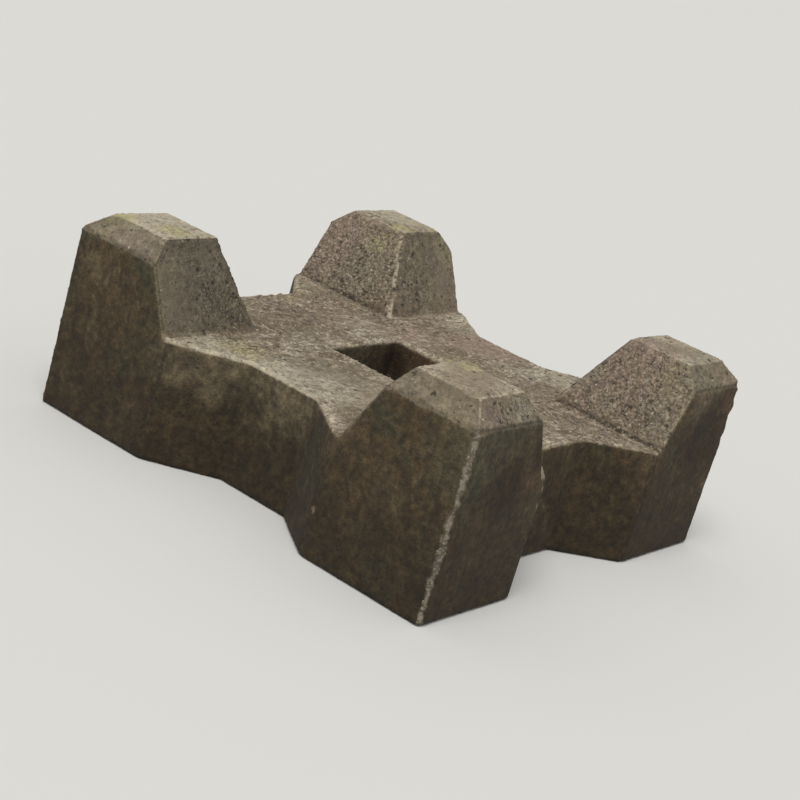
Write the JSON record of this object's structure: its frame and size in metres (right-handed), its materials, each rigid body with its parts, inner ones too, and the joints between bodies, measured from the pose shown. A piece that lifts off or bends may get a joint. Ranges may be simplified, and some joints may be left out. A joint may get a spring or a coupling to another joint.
{
  "type": "hollow square armour unit",
  "caption": "Square cast concrete armour unit for a sea slope: a plate with a square through hole, a splayed notch in each side and a battered post on each corner.",
  "frame": {"origin": "middle of the flat underside", "axes": "+Z points out of the slope, through the square hole and up past the posts; X and Y are square to the four joint faces"},
  "size_m": [1.6, 1.6, 0.67],
  "materials": {
    "cast_concrete": "weathered cast concrete, aggregate exposed on the worn faces"
  },
  "bodies": {
    "root": {"armour_block": "cast_concrete"}
  },
  "joints": []
}
